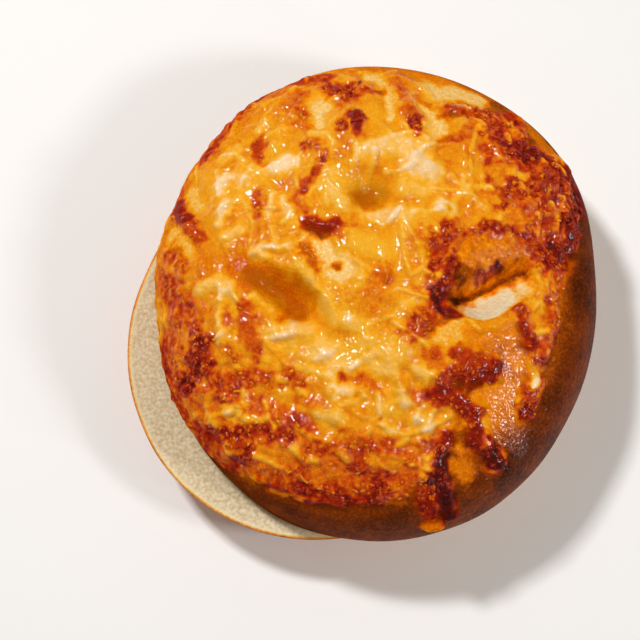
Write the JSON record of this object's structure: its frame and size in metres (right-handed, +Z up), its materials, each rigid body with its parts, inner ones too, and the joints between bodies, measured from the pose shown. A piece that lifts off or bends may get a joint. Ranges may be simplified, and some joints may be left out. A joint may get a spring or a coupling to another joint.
{
  "type": "asiago bagel",
  "caption": "Sliced oval bagel, its halves set together a little askew, with a browned blanket of melted cheese over the top and a deep pocket where the hole closed.",
  "frame": {"origin": "middle of the flat underside that the lower half rests on", "axes": "+Z up from the table to the crown, +X to the side of the pocket, +Y to the back, away from the drips"},
  "size_m": [0.1107, 0.1137, 0.0483],
  "materials": {
    "bottom_half": "matte",
    "top_half": "satin",
    "cheese": "satin"
  },
  "bodies": {
    "root": {"bottom_half": "bottom_half", "top_half": "top_half", "cheese": "cheese"}
  },
  "joints": []
}
